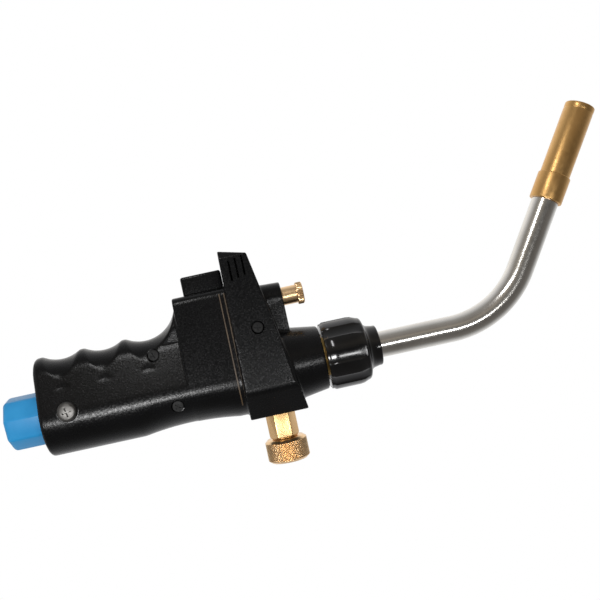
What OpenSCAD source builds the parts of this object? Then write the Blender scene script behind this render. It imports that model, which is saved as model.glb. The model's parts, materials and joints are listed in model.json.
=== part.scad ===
// Hand-held gas torch head: pistol grip with trigger ignition, regulator and flow valve,
// and a bent burner tube that a collar nut holds and lets swivel.
// Frame: origin at the centre of the cylinder inlet's mouth, +Z along the grip to the burner,
// +X to the trigger side, +Y to the left hand side. The burner tube starts on the Z axis.

/* [Handle] */
// Length of the grip, from its open end to the trigger housing
grip_l = 72.5; // [66:0.5:95]
// Distance from the grip's back circle to its finger-side circle
grip_depth = 18.2; // [15:0.1:24]
// Radius of the grip's finger-side circle
finger_r = 12.5; // [11:0.1:15]
// Radius of one finger groove
groove_r = 17.7; // [14:0.1:22]
// Depth of the finger grooves at the middle
groove_depth = 2.7; // [2:0.1:3.4]
// Distance between two finger grooves
groove_pitch = 20.75; // [17:0.05:25]
// Number of finger grooves
groove_n = 3; // [2:1:3]
// Radius of the hollow along the back
waist_r = 142; // [118:1:180]
// Depth of the hollow along the back
waist_depth = 1.9; // [1.5:0.1:2.4]
// Wall thickness of the two shells
wall = 2.5; // [2:0.1:3]
// Thickness of the wall round the open end
end_wall = 3; // [2.5:0.1:3.6]

/* [Trigger housing] */
// Length of the trigger housing along the grip
housing_l = 26; // [25:0.5:32]
// How far the trigger housing reaches to the trigger side
housing_top = 43.2; // [42.5:0.1:52]
// Width of the trigger housing at its top
housing_w = 26; // [22:0.5:32]
// Length of the trigger's face
trigger_l = 19.7; // [17:0.1:22]
// Width of the trigger's face
trigger_w = 14; // [11.5:0.5:17]
// How far the trigger stands out of its housing
trigger_out = 9; // [8.5:0.1:12]
// How far the trigger travels
trigger_travel = 8; // [6.5:0.1:8.2]

/* [Head] */
// Length of the head at its top
head_top_l = 13.3; // [12:0.1:18]
// Height of the head above the burner axis
head_rise = 60.5; // [57.5:0.1:73]
// Depth of the head below the burner axis
head_drop = 21.5; // [21:0.1:26]
// Width of the head
head_w = 40; // [37:0.5:48]
// Tilt of the head's front face
head_tilt = 10; // [8:0.5:11]
// Width of the flat at the head's foot
foot_w = 20; // [17:0.5:24]
// Radius of the snout at the collar nut
snout_r = 15.4; // [14.8:0.1:18.6]
// Taper of the snout, as growth of radius for each length
snout_taper = 0.16; // [0.12:0.01:0.2]

/* [Gas inlet] */
// Radius of the inlet's threaded wall
thread_r = 12.75; // [12:0.05:16]
// Length of the inlet's threaded wall
thread_l = 8.5; // [7:0.1:10]
// Brass thickness round the thread
collar_wall = 1.55; // [1.3:0.05:2]
// Radius of the regulator
regulator_r = 12; // [11:0.1:14]
// Length of the blue plug outside the handle
plug_l = 18.1; // [15:0.1:22]
// Width across the flats of the blue plug
plug_af = 24.2; // [20:0.1:25]

/* [Flow valve] */
// Distance from the head's grip-side face to the flow valve's axis
valve_offset = 13.3; // [12.5:0.1:14.5]
// Width across the flats of the brass hex bonnet
hex_af = 12.7; // [10.5:0.1:15.2]
// Length of the hex bonnet outside the head
hex_out = 12.5; // [10.4:0.1:15]
// Radius of the flow knob
knob_r = 10.2; // [8.5:0.1:12.3]
// Length of the flow knob
knob_l = 10.9; // [9:0.1:13]
// Radius of the valve stem
stem_r = 2; // [1.7:0.05:2.4]

/* [Lock button] */
// Height of the lock button's axis above the burner axis
lock_x = 33; // [32.5:0.1:33.4]
// Radius of the lock button's shaft
lock_r = 4.45; // [3.7:0.05:4.9]
// How far the lock button travels
lock_travel = 4; // [3.3:0.1:4.8]
// Radius of the lock boss on the head
boss_r = 8.2; // [7.8:0.1:9.5]

/* [Burner] */
// Outside radius of the burner tube
tube_r = 6.35; // [5.3:0.05:7]
// Wall thickness of the burner tube
tube_wall = 0.8; // [0.7:0.05:1]
// Distance from the collar nut's rear face to the corner of the bent tube
tube_reach = 88.6; // [80.6:0.5:106.6]
// Bend radius of the tube's centre line
bend_r = 46; // [38:0.5:56]
// Angle of the bend
bend_angle = 57.5; // [45:0.5:70]
// Distance from the bend's corner to the ferrule
tip_offset = 60.75; // [55:0.25:73]
// Length of the burner tip, ferrule and all
tip_l = 49.4; // [41:0.1:60]
// Wall thickness of the burner tip
tip_wall = 0.68; // [0.55:0.01:0.85]
// Length of the ferrule
ferrule_l = 13.2; // [11:0.1:16]
// Radius of the collar nut
nut_r = 16.7; // [16.2:0.1:20]
// Length of the collar nut's fluted part
nut_grip_l = 19; // [18.2:0.1:23]
// Length of the collar nut's neck
nut_neck_l = 7.8; // [6.5:0.1:9.5]

/* [Fits] */
// Running clearance on a radius, for shafts that turn or slide
running_gap = 0.05; // [0.04:0.01:0.06]
// Clearance between pieces that stay put
seat_gap = 0.05; // [0.04:0.01:0.06]
// Clearance between pieces that move past each other
free_gap = 0.3; // [0.25:0.01:0.36]

/* [Hidden] */
$fn = 64;

// Stations along the grip and burner axis
end_z = -end_wall;
housing_z = end_z + grip_l;
head_z = housing_z + housing_l;
valve_z = head_z + valve_offset;
spigot_z = valve_z + 9.2;
snout_end_z = spigot_z + 17;
nut_z = snout_end_z + 1;
nut_neck_z = nut_z + nut_grip_l;
nut_end_z = nut_neck_z + nut_neck_l;
corner_z = nut_z + tube_reach;
bend_z = corner_z - bend_r * tan(bend_angle / 2);

// Grip section: a large circle at the back and a small one on the finger side
collar_r = thread_r + collar_wall;
plug_spigot_r = thread_r + 0.75;
back_r = collar_r + 0.7 + wall;
back_x = -1.8;
finger_x = back_x + grip_depth;
finger_edge = finger_x + finger_r;
groove_bottom = finger_edge - groove_depth;
groove_axis_x = finger_x - 3.7;
groove_ring_r = groove_bottom - groove_axis_x + groove_r;
first_groove_z = end_z + 13.75;
waist_z = housing_z - 3;
housing_corner_r = 4;
throat_r = 11;

// Head
slope = tan(head_tilt);
roof_slope = 0.2556;
left_slope = 0.0143;
crease_x = -8;
snout_bevel = 0.5;
roof_bevel = 3.5;
front_z0 = head_z + head_top_l + (head_rise - roof_slope * head_top_l) * slope;

// Vent slots through both sides of the head
vent_n = 3;
vent_x = head_rise - 15.1;
vent_step = 0.8;
vent_pitch = 3.2;
vent_l = 9.5;
vent_w = 0.9;
vent_web_t = 1.5;

// Screws that join the shells: place on the side view and the surface they sink into
shell_screw_at = [
    [finger_x + 2.5, housing_z - 13.9, finger_r - 0.25],
    [back_x - 4.9, housing_z - 7.2, back_r - 0.7],
    [21.6, head_z + 11.3, head_w / 2]];
screw_r = 1.3;
screw_head_r = 2.8;
screw_head_l = 2;
screw_sink = 1.2;
post_r = 3.6;

// Inlet screws
inlet_screw_z = thread_l + 2.8;
inlet_screw_x = 2;
inlet_screw_r = 2;
inlet_head_r = 4.85;
inlet_head_l = 2.8;
inlet_dome_l = 1.2;
inlet_face_y = back_r - 0.6;

// Blue plug
plug_turn = 31.5;
plug_bevel = 2.2;
plug_floor = 3;
plug_wall = 2.2;

// Inlet and regulator
pocket_r = 7;
pocket_z = thread_l + 4;
collar_l = pocket_z + 2.5;
regulator_z = collar_l + 11;
diaphragm_z = regulator_z + 14;
diaphragm_t = 0.6;
cap_z = diaphragm_z + diaphragm_t;
cap_end_z = cap_z + 11.4;
spring_room_z = cap_end_z - 3;
feed_r = 2.7;
port_x = 2;
port_y = -8.5;
gas_tube_r = 2;
gas_bore_r = 1.2;

// Valve block, with the flow valve's axis along X
block_z = valve_z - 10.8;
block_back = -17.5;
block_front = 12;
block_w = 17;
pin_z = valve_z - 7.8;
pin_r = 1.5;
stem_bore_r = stem_r + running_gap;
bonnet_plug_r = stem_r + 2.2;
hex_end = -head_drop - hex_out;
knob_end = hex_end - free_gap - knob_l;
knob_bevel = 1.1;

// Trigger and piezo igniter
trigger_z = head_z - 0.5 - trigger_l;
trigger_top = housing_top + trigger_out;
flange_x = 34;
flange_top = housing_top - wall - free_gap;
flange_w = housing_w - 2 * wall - 2 * free_gap - 2.8;
tab_z = pin_z + pin_r + lock_travel - 1;
tab_t = 4;
piezo_z = trigger_z + 5.8;
piezo_r = 5;
piezo_back = -2;
piezo_front = flange_x - trigger_travel - 0.3;
plunger_r = 3;
spring_seat_x = 14;
return_z = trigger_z + 15.3;

// Lock button, its axis along Z
lock_boss_z = spigot_z + 3.8;
lock_guide_z = head_z + 11;
lock_pin_r = 2;
lock_pin_end = tab_z + 1.2;
notch_gap = 0.6;
lock_shoulder_z = lock_boss_z - 4.8;
lock_ring_z = lock_boss_z + 7.2;
lock_ring_l = 3.2;
lock_ring_r = lock_r + 0.9;

// Burner joint
spigot_thread_r = nut_r - 5.75;
spigot_end_z = nut_z + 12.7;
neck_r = spigot_thread_r - 1.5;
socket_z = spigot_end_z - 7.7;
socket_r = tube_r + 0.08;
chamber_r = tube_r - 0.55;
jet_z = spigot_z + 10;
jet_r = 3;
air_hole_z = jet_z + 2.5;
air_hole_r = 0.9;
flange_z = spigot_end_z + free_gap;
flange_t = 3;
tube_flange_r = spigot_thread_r - 0.5;
nut_shoulder_z = flange_z + flange_t + free_gap;
flute_n = 8;
flute_r = 9;
flute_depth = 0.8;
tip_x = bend_r * (1 - cos(bend_angle));
tip_z = bend_z + bend_r * sin(bend_angle);
tip_straight = tip_offset - bend_r * tan(bend_angle / 2);
tip_r = tube_r + tip_wall;
electrode_r = 0.6;

// Ignition wire, from the igniter's back end, past the valve block and into the spigot
wire_r = 0.9;
wire_side = block_w / 2 + 3.4;
wire_y = chamber_r - 1.2;
wire_slot_w = 3.2;
wire_route = [
    [piezo_back - 0.1, 0, piezo_z], [piezo_back - 2.2, 0.4, piezo_z + 0.6],
    [piezo_back - 4.4, 2, piezo_z + 3], [piezo_back - 4.4, 5.5, piezo_z + 7],
    [piezo_back - 3, 9.3, piezo_z + 12], [piezo_back - 1.6, wire_side - 0.6, piezo_z + 17],
    [piezo_back - 0.8, wire_side, piezo_z + 23], [piezo_back, wire_side, valve_z + 3],
    [0, wire_side - 0.1, valve_z + 9], [0, wire_side - 0.4, spigot_z + 5.5],
    [0, neck_r + 1.9, spigot_z + 8.2], [0, neck_r + 0.6, spigot_z + 10.2],
    [0, wire_y + 2.2, spigot_z + 11.6], [0, wire_y + 0.5, spigot_z + 13.2],
    [0, wire_y, spigot_z + 15.6], [0, wire_y, socket_z - 0.1]];

// How much the bend draws the tube's wall thinner on each side
bend_thinning = 0.02;

// Electrode, along the middle of the burner tube
bend_steps = 12;
electrode_end = tip_straight + ferrule_l + 17;
electrode_route = concat([[0, 0, socket_z + 3.3]],
    [for (a = [0:bend_angle / bend_steps:bend_angle + 0.01])
        [bend_r * (1 - cos(a)), 0, bend_z + bend_r * sin(a)]],
    [[tip_x + electrode_end * sin(bend_angle), 0, tip_z + electrode_end * cos(bend_angle)]]);

function unit(v) = v / norm(v);
// Direction of a route at one of its points
function heading(p, i) = unit(p[min(i + 1, len(p) - 1)] - p[max(i - 1, 0)]);
// One point of the ring round a route, for any route that never runs along the side vector
function ring_point(p, i, k, sides, r, side) =
    let (d = heading(p, i), u = unit(cross(d, side)), v = cross(d, u), a = 360 * k / sides)
    p[i] + r * (cos(a) * u + sin(a) * v);

// Closed tube of a given radius along a route
module sweep(p, r, sides, side) {
    n = len(p);
    points = [for (i = [0:n - 1]) for (k = [0:sides - 1]) ring_point(p, i, k, sides, r, side)];
    walls = [for (i = [0:n - 2]) for (k = [0:sides - 1]) for (half = [0, 1])
        let (a = i * sides + k, b = i * sides + (k + 1) % sides, up = sides)
        half == 0 ? [a, b, b + up] : [a, b + up, a + up]];
    first = [for (k = [0:sides - 1]) sides - 1 - k];
    last = [for (k = [0:sides - 1]) (n - 1) * sides + k];
    polyhedron(points, concat([first], walls, [last]), convexity = 8);
}

// Coil spring along +Z, its ends inside the given length
module coil(r, wire, length, turns) {
    steps = turns * 12;
    rise = (length - 2 * wire) / steps;
    route = [for (i = [0:steps]) [r * cos(30 * i), r * sin(30 * i), wire + rise * i]];
    sweep(route, wire, 6, [0, 0, 1]);
}

module along_x(x, z) {
    translate([x, 0, z]) rotate([0, 90, 0]) children();
}

module along_y(x, z) {
    translate([x, 0, z]) rotate([-90, 0, 0]) children();
}

// Washer or sleeve along +Z
module sleeve(r_out, r_in, h) {
    difference() {
        cylinder(r = r_out, h = h);
        translate([0, 0, -1]) cylinder(r = r_in, h = h + 2);
    }
}

module o_ring(middle_r, wire) {
    rotate_extrude() translate([middle_r, 0]) circle(wire);
}

module hexagon(af, h) {
    cylinder(r = af / 2 / cos(30), h = h, $fn = 6);
}

// Grip section: two circles and the flanks that touch both
module egg(r1, r2) {
    lean = (r1 - r2) / grip_depth;
    side = sqrt(1 - lean * lean);
    translate([back_x, 0]) circle(r1);
    translate([finger_x, 0]) circle(r2);
    polygon([[back_x + r1 * lean, r1 * side], [finger_x + r2 * lean, r2 * side],
        [finger_x + r2 * lean, -r2 * side], [back_x + r1 * lean, -r1 * side]]);
}

module waist(inset) {
    along_y(back_x - back_r + waist_depth - waist_r, waist_z)
        cylinder(r = waist_r + inset, h = 80, center = true, $fn = 200);
}

module grooves() {
    for (i = [0:groove_n - 1])
        translate([groove_axis_x, 0, first_groove_z + i * groove_pitch]) rotate([0, 0, -90])
            rotate_extrude(angle = 180) translate([groove_ring_r, 0]) circle(groove_r);
}

// Trigger housing section: flat flanks that lean in to a rounded top
module housing_section(inset) {
    half = housing_w / 2 - inset;
    corner = housing_corner_r - inset;
    foot = back_r + 0.8 - inset;
    top = housing_top - inset;
    polygon([[back_x, -foot], [top - corner, -half], [top - corner, half], [back_x, foot]]);
    translate([back_x, -half + corner]) square([top - back_x, 2 * half - 2 * corner]);
    for (s = [-1, 1]) translate([top - corner, s * (half - corner)]) circle(corner);
}

// Web under the trigger housing, which the last finger groove hollows out
module throat_section() {
    centre_x = housing_top - housing_corner_r - throat_r;
    translate([centre_x, 0]) circle(throat_r);
    translate([finger_x, -throat_r]) square([centre_x - finger_x, 2 * throat_r]);
}

// Side view of the head, as Z and X, sunk all round by the inset
module head_side(inset) {
    left = head_z - head_rise * left_slope + inset;
    roof0 = head_rise - inset * 1.03;
    front = front_z0 - inset * 1.015;
    // where the roof line meets the front line
    corner_x = (roof0 - roof_slope * (front - head_z)) / (1 - roof_slope * slope);
    corner_z = front - corner_x * slope;
    foot = -head_drop + inset;
    polygon([[left + foot * left_slope, foot], [front - foot * slope, foot],
        [corner_z, corner_x], [left + roof0 * left_slope, roof0]]);
}

// Front view of the head, as X and Y
module head_front(inset) {
    half = head_w / 2 - inset;
    foot = foot_w / 2 - inset * 0.55;
    right = [[-head_drop - 1, foot], [-head_drop, foot], [crease_x, half],
        [head_rise - roof_bevel, half], [head_rise + 1, half - roof_bevel]];
    polygon(concat(right, [for (i = [4:-1:0]) [right[i][0], -right[i][1]]]));
}

module head(inset) {
    intersection() {
        rotate([90, 0, 0]) rotate([0, 0, 90]) mirror([0, 1, 0])
            linear_extrude(head_w + 4, center = true) head_side(inset);
        translate([0, 0, head_z - 5]) linear_extrude(60) head_front(inset);
    }
}

module lock_boss(inset) {
    r = boss_r - inset;
    translate([lock_x, 0, head_z + 8]) cylinder(r = r, h = lock_boss_z - inset - head_z - 8);
    if (inset == 0) translate([0, -r, head_z + 8]) cube([lock_x, 2 * r, lock_boss_z - head_z - 8]);
}

function snout_at(z) = snout_r + (snout_end_z - z) * snout_taper;

module snout(inset) {
    z0 = spigot_z - 8;
    z1 = snout_end_z - max(inset, snout_bevel);
    translate([0, 0, z0]) cylinder(r1 = snout_at(z0) - inset, r2 = snout_at(z1) - inset, h = z1 - z0);
    if (inset == 0) translate([0, 0, z1])
        cylinder(r1 = snout_at(z1), r2 = snout_r - snout_bevel, h = snout_bevel);
}

// Outside of both shells together
module outer_form() {
    difference() {
        union() {
            translate([0, 0, end_z]) linear_extrude(head_z - end_z + 2) egg(back_r, finger_r);
            translate([0, 0, housing_z]) linear_extrude(housing_l + 2) housing_section(0);
            translate([0, 0, housing_z - groove_r]) linear_extrude(groove_r + 1) throat_section();
        }
        grooves();
        waist(0);
    }
    head(0);
    lock_boss(0);
    snout(0);
}

// Hollow inside both shells together
module inner_form() {
    difference() {
        translate([0, 0, 0]) linear_extrude(head_z + wall + 1)
            egg(back_r - wall, groove_bottom - wall - finger_x);
        waist(wall);
    }
    cylinder(r = collar_r + seat_gap, h = collar_l + seat_gap);
    translate([0, 0, housing_z + wall]) linear_extrude(housing_l + 1) housing_section(wall);
    head(wall);
    lock_boss(wall);
    snout(wall);
}

// Ribs and posts inside the shells that hold the works
module supports() {
    for (at = shell_screw_at) along_y(at[0], at[1]) cylinder(r = post_r, h = head_w, center = true);
    for (z = [regulator_z + 4, cap_z + 5]) translate([-30, -20, z]) cube([42, 40, 2]);
    for (x = [port_x + 4.5, piezo_front - 5]) translate([x, -20, piezo_z - 3]) cube([3, 40, 6]);
    translate([spring_seat_x - 2, -20, return_z - 3.6]) cube([2, 40, 7.4]);
    translate([lock_x - 5, -20, lock_guide_z]) cube([10, 40, 1.5]);
    for (z = [block_z + 2, block_z + 9]) translate([-8, -20, z]) cube([5, 40, 2]);
    // web behind the vent slots
    translate([vent_x - 2, -vent_web_t / 2, head_z]) cube([vent_l + 8, vent_web_t, head_top_l + 14]);
}

// Room for the pieces that the ribs hold or let past
module works_room() {
    translate([0, 0, regulator_z]) cylinder(r = regulator_r + seat_gap, h = cap_end_z - regulator_z + 1);
    along_x(piezo_back - 1, piezo_z) cylinder(r = piezo_r + seat_gap, h = flange_x - piezo_back);
    translate([port_x, port_y, cap_end_z]) cylinder(r = gas_tube_r + free_gap, h = block_z - cap_end_z);
    translate([lock_x, 0, lock_guide_z - 1]) cylinder(r = lock_pin_r + running_gap, h = 4);
    translate([block_back - free_gap, -block_w / 2 - seat_gap, block_z - seat_gap])
        cube([block_front - block_back + 2 * free_gap, block_w + 2 * seat_gap, 18]);
    translate([port_x, port_y, block_z - seat_gap]) cylinder(r = 3.5 + free_gap, h = 9);
    for (x = [piezo_back - 6, piezo_back + 1])
        translate([x - 3, wire_side - 3, block_z - 2]) cube([6, 5, 22]);
}

// Openings through the shells' walls
module shell_openings() {
    translate([0, 0, end_z - 1]) cylinder(r = plug_spigot_r + running_gap, h = end_wall + 2);
    translate([housing_top - wall - 1, -trigger_w / 2 - free_gap, trigger_z - free_gap])
        cube([wall + 4, trigger_w + 2 * free_gap, trigger_l + 2 * free_gap]);
    along_x(-head_drop - 1, valve_z) cylinder(r = hex_af / 2 / cos(30) + free_gap, h = wall + 3);
    translate([lock_x, 0, lock_boss_z - wall - 1]) cylinder(r = lock_r + running_gap, h = wall + 2);
    translate([0, 0, snout_end_z - wall - 5]) cylinder(r = neck_r + seat_gap, h = wall + 6);
    for (s = [-1, 1]) for (i = [0:vent_n - 1])
        translate([vent_x + i * vent_step, s * head_w / 2 - 4, head_z + 3.8 + i * vent_pitch])
            cube([vent_l, 8, vent_w]);
}

module shell_blank() {
    difference() {
        union() {
            difference() {
                outer_form();
                inner_form();
            }
            difference() {
                intersection() {
                    supports();
                    inner_form();
                }
                works_room();
            }
        }
        shell_openings();
        for (s = [-1, 1]) along_y(inlet_screw_x, inlet_screw_z) {
            rotate([0, 90 - 90 * s, 0]) cylinder(r = inlet_screw_r + 0.2, h = head_w);
            rotate([0, 90 - 90 * s, 0]) translate([0, 0, inlet_face_y])
                cylinder(r = inlet_head_r + 0.25, h = 8);
        }
    }
}

module left_shell() {
    color([0.05, 0.05, 0.055]) difference() {
        intersection() {
            shell_blank();
            translate([-60, 0, end_z - 5]) cube([160, 60, nut_z - end_z + 5]);
        }
        for (at = shell_screw_at) along_y(at[0], at[1]) {
            translate([0, 0, -1]) cylinder(r = screw_r + 0.2, h = head_w);
            translate([0, 0, at[2] - screw_sink - screw_head_l]) cylinder(r = screw_head_r + free_gap, h = 12);
        }
    }
}

module right_shell() {
    color([0.05, 0.05, 0.055]) difference() {
        intersection() {
            shell_blank();
            translate([-60, -60, end_z - 5]) cube([160, 60, nut_z - end_z + 5]);
        }
        for (at = shell_screw_at) along_y(at[0], at[1])
            translate([0, 0, -at[2] + 5]) cylinder(r = screw_r, h = head_w);
    }
}

// Cross recess for a screw head, cut down from z = 0
module cross_recess(size, depth) {
    for (a = [0, 90]) rotate([0, 0, a]) translate([-size / 2, -size / 10, -depth])
        cube([size, size / 5, depth + 1]);
}

module shell_screws() {
    color([0.08, 0.08, 0.085]) for (at = shell_screw_at) along_y(at[0], at[1]) {
        top = at[2] - screw_sink;
        difference() {
            union() {
                translate([0, 0, top - screw_head_l]) cylinder(r = screw_head_r, h = screw_head_l);
                translate([0, 0, -at[2] + 6]) cylinder(r = screw_r, h = 2 * at[2] - 7.2 - screw_head_l);
            }
            translate([0, 0, top]) cross_recess(3, 1.1);
        }
    }
}

module inlet_screw() {
    difference() {
        union() {
            translate([0, 0, inlet_face_y]) cylinder(r = inlet_head_r, h = inlet_head_l - inlet_dome_l);
            translate([0, 0, inlet_face_y + inlet_head_l - inlet_dome_l])
                cylinder(r1 = inlet_head_r, r2 = inlet_head_r - 1.45, h = inlet_dome_l);
            translate([0, 0, pocket_r + 1.5]) cylinder(r = inlet_screw_r, h = inlet_face_y - pocket_r);
        }
        translate([0, 0, inlet_face_y + inlet_head_l]) cross_recess(4.8, 1.8);
    }
}

module inlet_screws() {
    color("silver") for (s = [-1, 1]) along_y(inlet_screw_x, inlet_screw_z)
        rotate([0, 90 - 90 * s, 0]) inlet_screw();
}

module dust_plug() {
    flat_r = plug_af / 2 / cos(22.5);
    color([0.17, 0.6, 0.86]) difference() {
        union() {
            translate([0, 0, end_z - plug_l + plug_bevel]) rotate([0, 0, plug_turn])
                cylinder(r = flat_r, h = plug_l - plug_bevel, $fn = 8);
            intersection() {
                translate([0, 0, end_z - plug_l]) rotate([0, 0, plug_turn])
                    cylinder(r = flat_r, h = plug_bevel, $fn = 8);
                translate([0, 0, end_z - plug_l])
                    cylinder(r1 = flat_r - plug_bevel, r2 = flat_r + 0.1, h = plug_bevel);
            }
            translate([0, 0, end_z]) cylinder(r = plug_spigot_r, h = end_wall - 0.2);
        }
        translate([0, 0, end_z - plug_l + plug_floor])
            cylinder(r = plug_af / 2 - plug_wall, h = plug_l + end_wall);
    }
}

module inlet_collar() {
    color("goldenrod") sleeve(collar_r, thread_r, thread_l);
}

module inlet_body() {
    color("goldenrod") difference() {
        union() {
            translate([0, 0, thread_l]) cylinder(r = collar_r, h = collar_l - thread_l);
            translate([0, 0, collar_l]) cylinder(r = regulator_r, h = regulator_z - collar_l);
        }
        translate([0, 0, thread_l - 1]) cylinder(r = pocket_r, h = pocket_z - thread_l + 1);
        translate([0, 0, pocket_z - 1]) cylinder(r = feed_r, h = regulator_z - pocket_z + 2);
        for (s = [-1, 1]) along_y(inlet_screw_x, inlet_screw_z) rotate([0, 90 - 90 * s, 0])
            translate([0, 0, pocket_r + 1.2]) cylinder(r = inlet_screw_r, h = collar_r);
    }
}

module inlet_seal() {
    color([0.1, 0.1, 0.1]) translate([0, 0, thread_l + 0.9])
        sleeve(pocket_r - seat_gap, 3.2, pocket_z - thread_l - 0.9);
}

module depressor_pin() {
    color("khaki") {
        translate([0, 0, thread_l + 0.9]) cylinder(r = 1.6, h = collar_l - thread_l + 4);
        translate([0, 0, collar_l + 4]) cylinder(r = feed_r - seat_gap, h = 1);
    }
}

module inlet_filter() {
    color("peru") translate([0, 0, collar_l + 6]) cylinder(r = feed_r - seat_gap, h = 3);
}

module regulator_body() {
    color("darkgoldenrod") difference() {
        translate([0, 0, regulator_z]) cylinder(r = regulator_r, h = diaphragm_z - regulator_z);
        translate([0, 0, regulator_z - 1]) cylinder(r = 1.1, h = 6);
        translate([0, 0, regulator_z + 4]) cylinder(r = pocket_r, h = 20);
        translate([port_x, port_y, diaphragm_z - 5]) cylinder(r = 1, h = 6);
        translate([port_x, port_y, diaphragm_z - 4]) rotate([-90, 0, 0]) cylinder(r = 0.9, h = 5);
    }
}

module regulator_poppet() {
    color("khaki") {
        translate([0, 0, regulator_z + 1]) cylinder(r = 0.8, h = 9);
        translate([0, 0, diaphragm_z - 4]) cylinder(r = 5, h = 4);
    }
}

module diaphragm() {
    color([0.15, 0.13, 0.12]) translate([0, 0, diaphragm_z]) difference() {
        cylinder(r = regulator_r, h = diaphragm_t);
        translate([port_x, port_y, -1]) cylinder(r = 1, h = 3);
    }
}

module spring_plate() {
    color("silver") translate([0, 0, cap_z]) cylinder(r = pocket_r - 1.2, h = 1.2);
}

module regulator_spring() {
    color("silver") translate([0, 0, cap_z + 1.2]) coil(4.4, 0.6, spring_room_z - cap_z - 1.2, 4);
}

module regulator_cap() {
    color("darkgoldenrod") translate([0, 0, cap_z]) difference() {
        cylinder(r = regulator_r, h = cap_end_z - cap_z);
        translate([0, 0, -1]) cylinder(r = pocket_r - 0.6, h = spring_room_z - cap_z + 1);
        translate([port_x, port_y, -1]) cylinder(r = 1, h = 20);
        translate([port_x, port_y, spring_room_z - cap_z]) cylinder(r = gas_tube_r, h = 5);
    }
}

module gas_tube() {
    color("chocolate") translate([port_x, port_y, spring_room_z])
        sleeve(gas_tube_r, gas_bore_r, block_z + 3 - spring_room_z);
}

module valve_body() {
    color("goldenrod") difference() {
        union() {
            translate([block_back, -block_w / 2, block_z])
                cube([block_front - block_back, block_w, 14]);
            translate([0, 0, block_z + 13]) cylinder(r = 8.4, h = spigot_z - block_z - 13);
            translate([port_x, port_y, block_z]) cylinder(r = 3.5, h = 8);
        }
        translate([port_x, port_y, block_z - 1]) cylinder(r = gas_tube_r, h = 4);
        translate([port_x, port_y, block_z + 3.6]) rotate([-90, 0, 0]) cylinder(r = 1, h = -port_y);
        along_x(block_front - 25, pin_z) cylinder(r = pin_r + running_gap, h = 26);
        along_x(block_front - 3.7, pin_z) cylinder(r = 2.9, h = 1.4);
        translate([-3.5, 0, pin_z]) cylinder(r = 1.1, h = valve_z - pin_z);
        along_x(block_back - 1, valve_z) cylinder(r = bonnet_plug_r, h = 9.5);
        along_x(block_back + 8, valve_z) cylinder(r = stem_r + 0.5, h = 7);
        along_x(-3, valve_z) cylinder(r = 1.2, h = 4.5);
        translate([0, 0, valve_z]) cylinder(r = 1.4, h = 10);
        translate([0, 0, spigot_z - 6]) cylinder(r = 5, h = 7);
    }
}

module bonnet() {
    color("gold") difference() {
        union() {
            along_x(hex_end, valve_z) hexagon(hex_af, block_back - hex_end);
            along_x(block_back, valve_z) cylinder(r = bonnet_plug_r, h = 8.4);
        }
        along_x(hex_end - 1, valve_z) cylinder(r = stem_bore_r, h = 40);
        along_x(block_back + 3, valve_z) cylinder(r = stem_r + 1.6, h = 1.7);
    }
}

module stem_o_ring() {
    color([0.1, 0.1, 0.1]) along_x(block_back + 3.85, valve_z) o_ring(stem_r + 0.8, 0.7);
}

module valve_stem() {
    color("khaki") {
        along_x(knob_end + 1.2, valve_z) cylinder(r = stem_r, h = -5 - knob_end - 1.2);
        along_x(-5, valve_z) cylinder(r1 = stem_r - 0.2, r2 = 0.5, h = 4);
    }
}

module flow_knob() {
    color("gold") difference() {
        union() {
            along_x(knob_end, valve_z) cylinder(r1 = knob_r - knob_bevel, r2 = knob_r, h = knob_bevel);
            along_x(knob_end + knob_bevel, valve_z) cylinder(r = knob_r, h = knob_l - 2 * knob_bevel);
            along_x(knob_end + knob_l - knob_bevel, valve_z)
                cylinder(r1 = knob_r, r2 = knob_r - knob_bevel, h = knob_bevel);
        }
        along_x(knob_end - 1, valve_z) cylinder(r = stem_r, h = knob_l + 2);
        along_x(knob_end - 1, valve_z) cylinder(r = stem_r + 1.5, h = 2.2);
    }
}

module trigger_valve_pin() {
    color("khaki") {
        along_x(-4, pin_z) cylinder(r = pin_r, h = 7.2);
        along_x(3.2, pin_z) cylinder(r = pin_r - 0.5, h = 4.2);
        along_x(7.4, pin_z) cylinder(r = pin_r, h = flange_x - 7.4);
    }
}

module pin_o_ring() {
    color([0.1, 0.1, 0.1]) along_x(block_front - 3, pin_z) o_ring(pin_r + 0.7, 0.6);
}

module piezo_igniter() {
    color([0.85, 0.83, 0.78]) difference() {
        along_x(piezo_back, piezo_z) cylinder(r = piezo_r, h = piezo_front - piezo_back);
        along_x(flange_x - trigger_travel - 21, piezo_z) cylinder(r = plunger_r + running_gap, h = 30);
    }
}

module piezo_plunger() {
    color([0.75, 0.2, 0.15]) along_x(flange_x - 20, piezo_z) cylinder(r = plunger_r, h = 20);
}

module trigger() {
    z_in = trigger_z - 2;
    color([0.05, 0.05, 0.055]) difference() {
        union() {
            translate([flange_x, -trigger_w / 2, trigger_z])
                cube([trigger_top - flange_x - 1, trigger_w, trigger_l]);
            translate([trigger_top - 1, -trigger_w / 2 + 1, trigger_z + 1])
                cube([1, trigger_w - 2, trigger_l - 2]);
            translate([flange_x, -flange_w / 2, z_in]) cube([flange_top - flange_x, flange_w, trigger_l + 2.5]);
            translate([flange_x, -6, z_in]) cube([tab_t, 12, tab_z - z_in]);
        }
        // notch that the lock pin drops through while the trigger is out
        translate([flange_x - 1, -lock_pin_r - notch_gap, pin_z + pin_r])
            cube([lock_x + lock_pin_r + notch_gap - flange_x + 1, 2 * (lock_pin_r + notch_gap), lock_travel + 1]);
    }
}

module trigger_spring() {
    color("silver") translate([spring_seat_x, 0, return_z]) rotate([0, 90, 0])
        coil(2.8, 0.4, flange_x - spring_seat_x, 8);
}

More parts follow.
